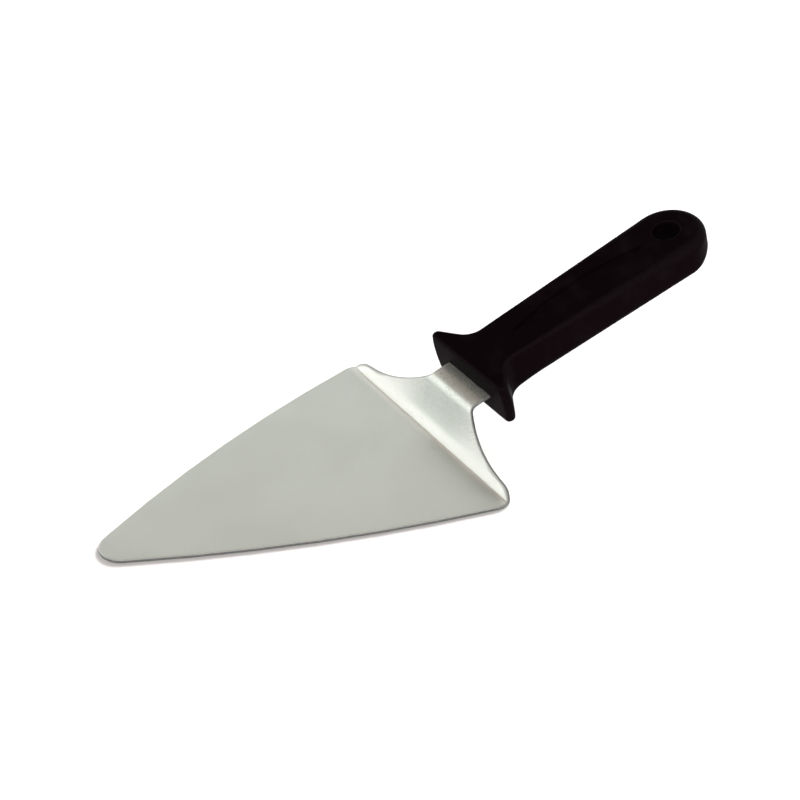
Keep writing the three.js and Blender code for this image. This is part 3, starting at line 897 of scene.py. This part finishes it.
FLOOR_DARKER = 0.985  # the floor's darker tone against its own colour


def floor_finish(stage):
    """Matt pale floor with a barely uneven tone."""
    material, tree, shader, place, _ = new_material("pale_floor")
    uneven = place_effect(tree, soft_patches, place, Scale=3.0, Low=0.2, High=0.9)
    darker = [value * FLOOR_DARKER for value in stage.floor]
    base = mixed_colour(tree, uneven, (*stage.floor, 1.0), (*darker, 1.0))
    tree.links.new(base, shader.inputs["Base Color"])
    shader.inputs["Roughness"].default_value = 0.9
    shader.inputs["Specular IOR Level"].default_value = 0.1
    return material


# Studio round the server: sine of the elevation, and red, green and blue there
SKY_STOPS = (
    (0.0, 1.46, 1.46, 1.46),
    (0.063, 1.37, 1.37, 1.37),
    (0.1, 1.25, 1.25, 1.25),
    (0.16, 1.15, 1.15, 1.15),
    (0.2, 1.05, 1.05, 1.05),
    (0.232, 0.88, 0.88, 0.88),
    (0.262, 0.6, 0.6, 0.6),
    (0.29, 0.36, 0.36, 0.36),
    (0.37, 0.35, 0.35, 0.35),
    (0.48, 0.95, 0.95, 0.95),
    (0.61, 1.05, 1.05, 1.05),
    (0.71, 0.24, 0.17, 0.15),
    (1.0, 0.2, 0.15, 0.13),
)
# Softboxes: azimuth, elevation, distance, width and height
KEY_SOFTBOX = (radians(-105), radians(70), 2.0, 2.6, 2.6)
FLOOR_SOFTBOX = (radians(30), radians(26), 4.0, 2.4, 1.4)


def direction_of(azimuth, elevation):
    """Unit vector towards a place in the sky."""
    return Vector((cos(elevation) * cos(azimuth), cos(elevation) * sin(azimuth), sin(elevation)))


def studio_sky(stage):
    """World: a sweep that is bright at the horizon and halfway up and dark overhead, with one soft lamp.

    The lamp's share falls smoothly with the angle from its middle. The camera itself sees plain white.
    """
    world = bpy.data.worlds.new("studio")
    world.use_nodes = True
    tree = world.node_tree
    tree.nodes.clear()
    direction = new_node(tree, "ShaderNodeTexCoord").outputs["Generated"]
    height = new_node(tree, "ShaderNodeSeparateXYZ", {0: direction}).outputs["Z"]
    ramp = new_node(tree, "ShaderNodeValToRGB", {"Fac": height})
    band = ramp.color_ramp
    for at, *_ in SKY_STOPS[1:-1]:
        band.elements.new(at)
    for element, (at, *shade) in zip(band.elements, SKY_STOPS):
        element.position = at
        element.color = (*shade, 1.0)
    towards = direction_of(stage.glow_azimuth, stage.glow_elevation)
    facing = new_node(tree, "ShaderNodeVectorMath", {0: direction, 1: towards}, operation="DOT_PRODUCT")
    apart = calculated(tree, "ARCCOSINE", facing.outputs["Value"])
    lamp = softly(tree, apart, stage.glow_reach, stage.glow_core, 0.0, stage.glow)
    lit = new_node(tree, "ShaderNodeVectorMath", {0: ramp.outputs["Color"], 1: lamp}, operation="ADD")
    around = new_node(tree, "ShaderNodeBackground", {"Color": lit.outputs[0], "Strength": stage.sky})
    white = new_node(tree, "ShaderNodeBackground", {"Color": (1.0, 1.0, 1.0, 1.0), "Strength": 1.0})
    seen = new_node(tree, "ShaderNodeLightPath").outputs["Is Camera Ray"]
    shown = new_node(tree, "ShaderNodeMixShader", {0: seen, 1: around.outputs[0], 2: white.outputs[0]})
    new_node(tree, "ShaderNodeOutputWorld", {"Surface": shown.outputs[0]})
    bpy.context.scene.world = world


def softbox(name, azimuth, elevation, distance, width, height, brightness):
    """Area light that faces the server, with a power of pi times its brightness and area."""
    light = bpy.data.lights.new(name, "AREA")
    light.shape = "RECTANGLE"
    light.size = width
    light.size_y = height
    light.energy = brightness * np.pi * width * height
    towards = direction_of(azimuth, elevation)
    lamp = bpy.data.objects.new(name, light)
    lamp.location = towards * distance
    lamp.rotation_euler = towards.to_track_quat("Z", "Y").to_euler()
    bpy.context.collection.objects.link(lamp)
    return lamp


def pale_floor(stage):
    """Square floor under the server."""
    reach = stage.floor_reach
    mesh = bpy.data.meshes.new("floor")
    corners = [(-reach, -reach, 0.0), (reach, -reach, 0.0), (reach, reach, 0.0), (-reach, reach, 0.0)]
    mesh.from_pydata(corners, [], [(0, 1, 2, 3)])
    mesh.materials.append(floor_finish(stage))
    floor = bpy.data.objects.new("floor", mesh)
    bpy.context.collection.objects.link(floor)
    return floor


def light_for(name, *objects):
    """Collection of the objects that a lamp is limited to."""
    chosen = bpy.data.collections.new(name)
    for thing in objects:
        chosen.objects.link(thing)
    return chosen


def view_camera(stage):
    """Camera on a sphere round its target, with no roll."""
    camera = bpy.data.cameras.new("camera")
    camera.lens = stage.camera_lens
    camera.sensor_width = 36.0
    viewer = bpy.data.objects.new("camera", camera)
    across, up = stage.camera_azimuth, stage.camera_elevation
    back = Vector((sin(across) * cos(up), -cos(across) * cos(up), sin(up)))
    right = Vector((cos(across), sin(across), 0.0))
    turn = Matrix((right, back.cross(right), back)).transposed()
    target = Vector(stage.camera_target)
    viewer.matrix_world = Matrix.Translation(target + back * stage.camera_distance) @ turn.to_4x4()
    bpy.context.collection.objects.link(viewer)
    return viewer


class SERVER_OT_blade(Operator):
    """Add the steel blade with its neck and tang"""

    bl_idname = "pizza_server.blade"
    bl_label = "Blade"

    def execute(self, context):
        settings = context.scene.pizza_server
        crank = Crank(settings.blade)
        surface = blade_surface(settings.blade, crank)
        piece = make_piece("stamped_blade", surface, satin_steel(settings.finish, crank))
        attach(piece, "root")
        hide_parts("blade")
        return {"FINISHED"}


class SERVER_OT_handle(Operator):
    """Add the moulded handle with its guard, thumb recess and hanging hole"""

    bl_idname = "pizza_server.handle"
    bl_label = "Handle"

    def execute(self, context):
        settings = context.scene.pizza_server
        crank = Crank(settings.blade)
        surface = handle_surface(settings.handle, settings.blade, crank)
        piece = make_piece("moulded_handle", surface, black_plastic(settings.finish))
        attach(piece, "root")
        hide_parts("handle")
        return {"FINISHED"}


class SERVER_OT_stage(Operator):
    """Add the floor, the studio light and the camera"""

    bl_idname = "pizza_server.stage"
    bl_label = "Stage"

    def execute(self, context):
        stage = context.scene.pizza_server.stage
        floor = pale_floor(stage)
        studio_sky(stage)
        softbox("key_softbox", *KEY_SOFTBOX, stage.key)
        fill = softbox("floor_softbox", *FLOOR_SOFTBOX, stage.fill)
        fill.light_linking.receiver_collection = light_for("floor_alone", floor)
        fill.light_linking.blocker_collection = light_for("lying", floor, bpy.data.objects["stamped_blade"])
        context.scene.camera = view_camera(stage)
        context.scene.view_settings.view_transform = "Standard"
        return {"FINISHED"}


class SERVER_PT_sidebar(Panel):
    """Lists the pieces of the server and their sizes"""

    bl_idname = "SERVER_PT_sidebar"
    bl_label = "Pizza server"
    bl_space_type = "VIEW_3D"
    bl_region_type = "UI"
    bl_category = "Pizza server"

    def draw(self, context):
        settings = context.scene.pizza_server
        for operator, group in (
            (SERVER_OT_blade, settings.blade),
            (SERVER_OT_handle, settings.handle),
            (SERVER_OT_stage, settings.stage),
            (None, settings.finish),
        ):
            box = self.layout.box()
            if operator is not None:
                box.operator(operator.bl_idname)
            for name in group.bl_rna.properties.keys():
                if name not in ("rna_type", "name"):
                    box.prop(group, name)


CLASSES = (
    BladeSettings,
    HandleSettings,
    FinishSettings,
    StageSettings,
    ServerSettings,
    SERVER_OT_blade,
    SERVER_OT_handle,
    SERVER_OT_stage,
    SERVER_PT_sidebar,
)


def register():
    for cls in CLASSES:
        bpy.utils.register_class(cls)
    bpy.types.Scene.pizza_server = PointerProperty(type=ServerSettings)


def unregister():
    del bpy.types.Scene.pizza_server
    for cls in reversed(CLASSES):
        bpy.utils.unregister_class(cls)


def main():
    register()
    bpy.ops.pizza_server.blade()
    bpy.ops.pizza_server.handle()
    bpy.ops.pizza_server.stage()


if __name__ == "__main__":
    main()
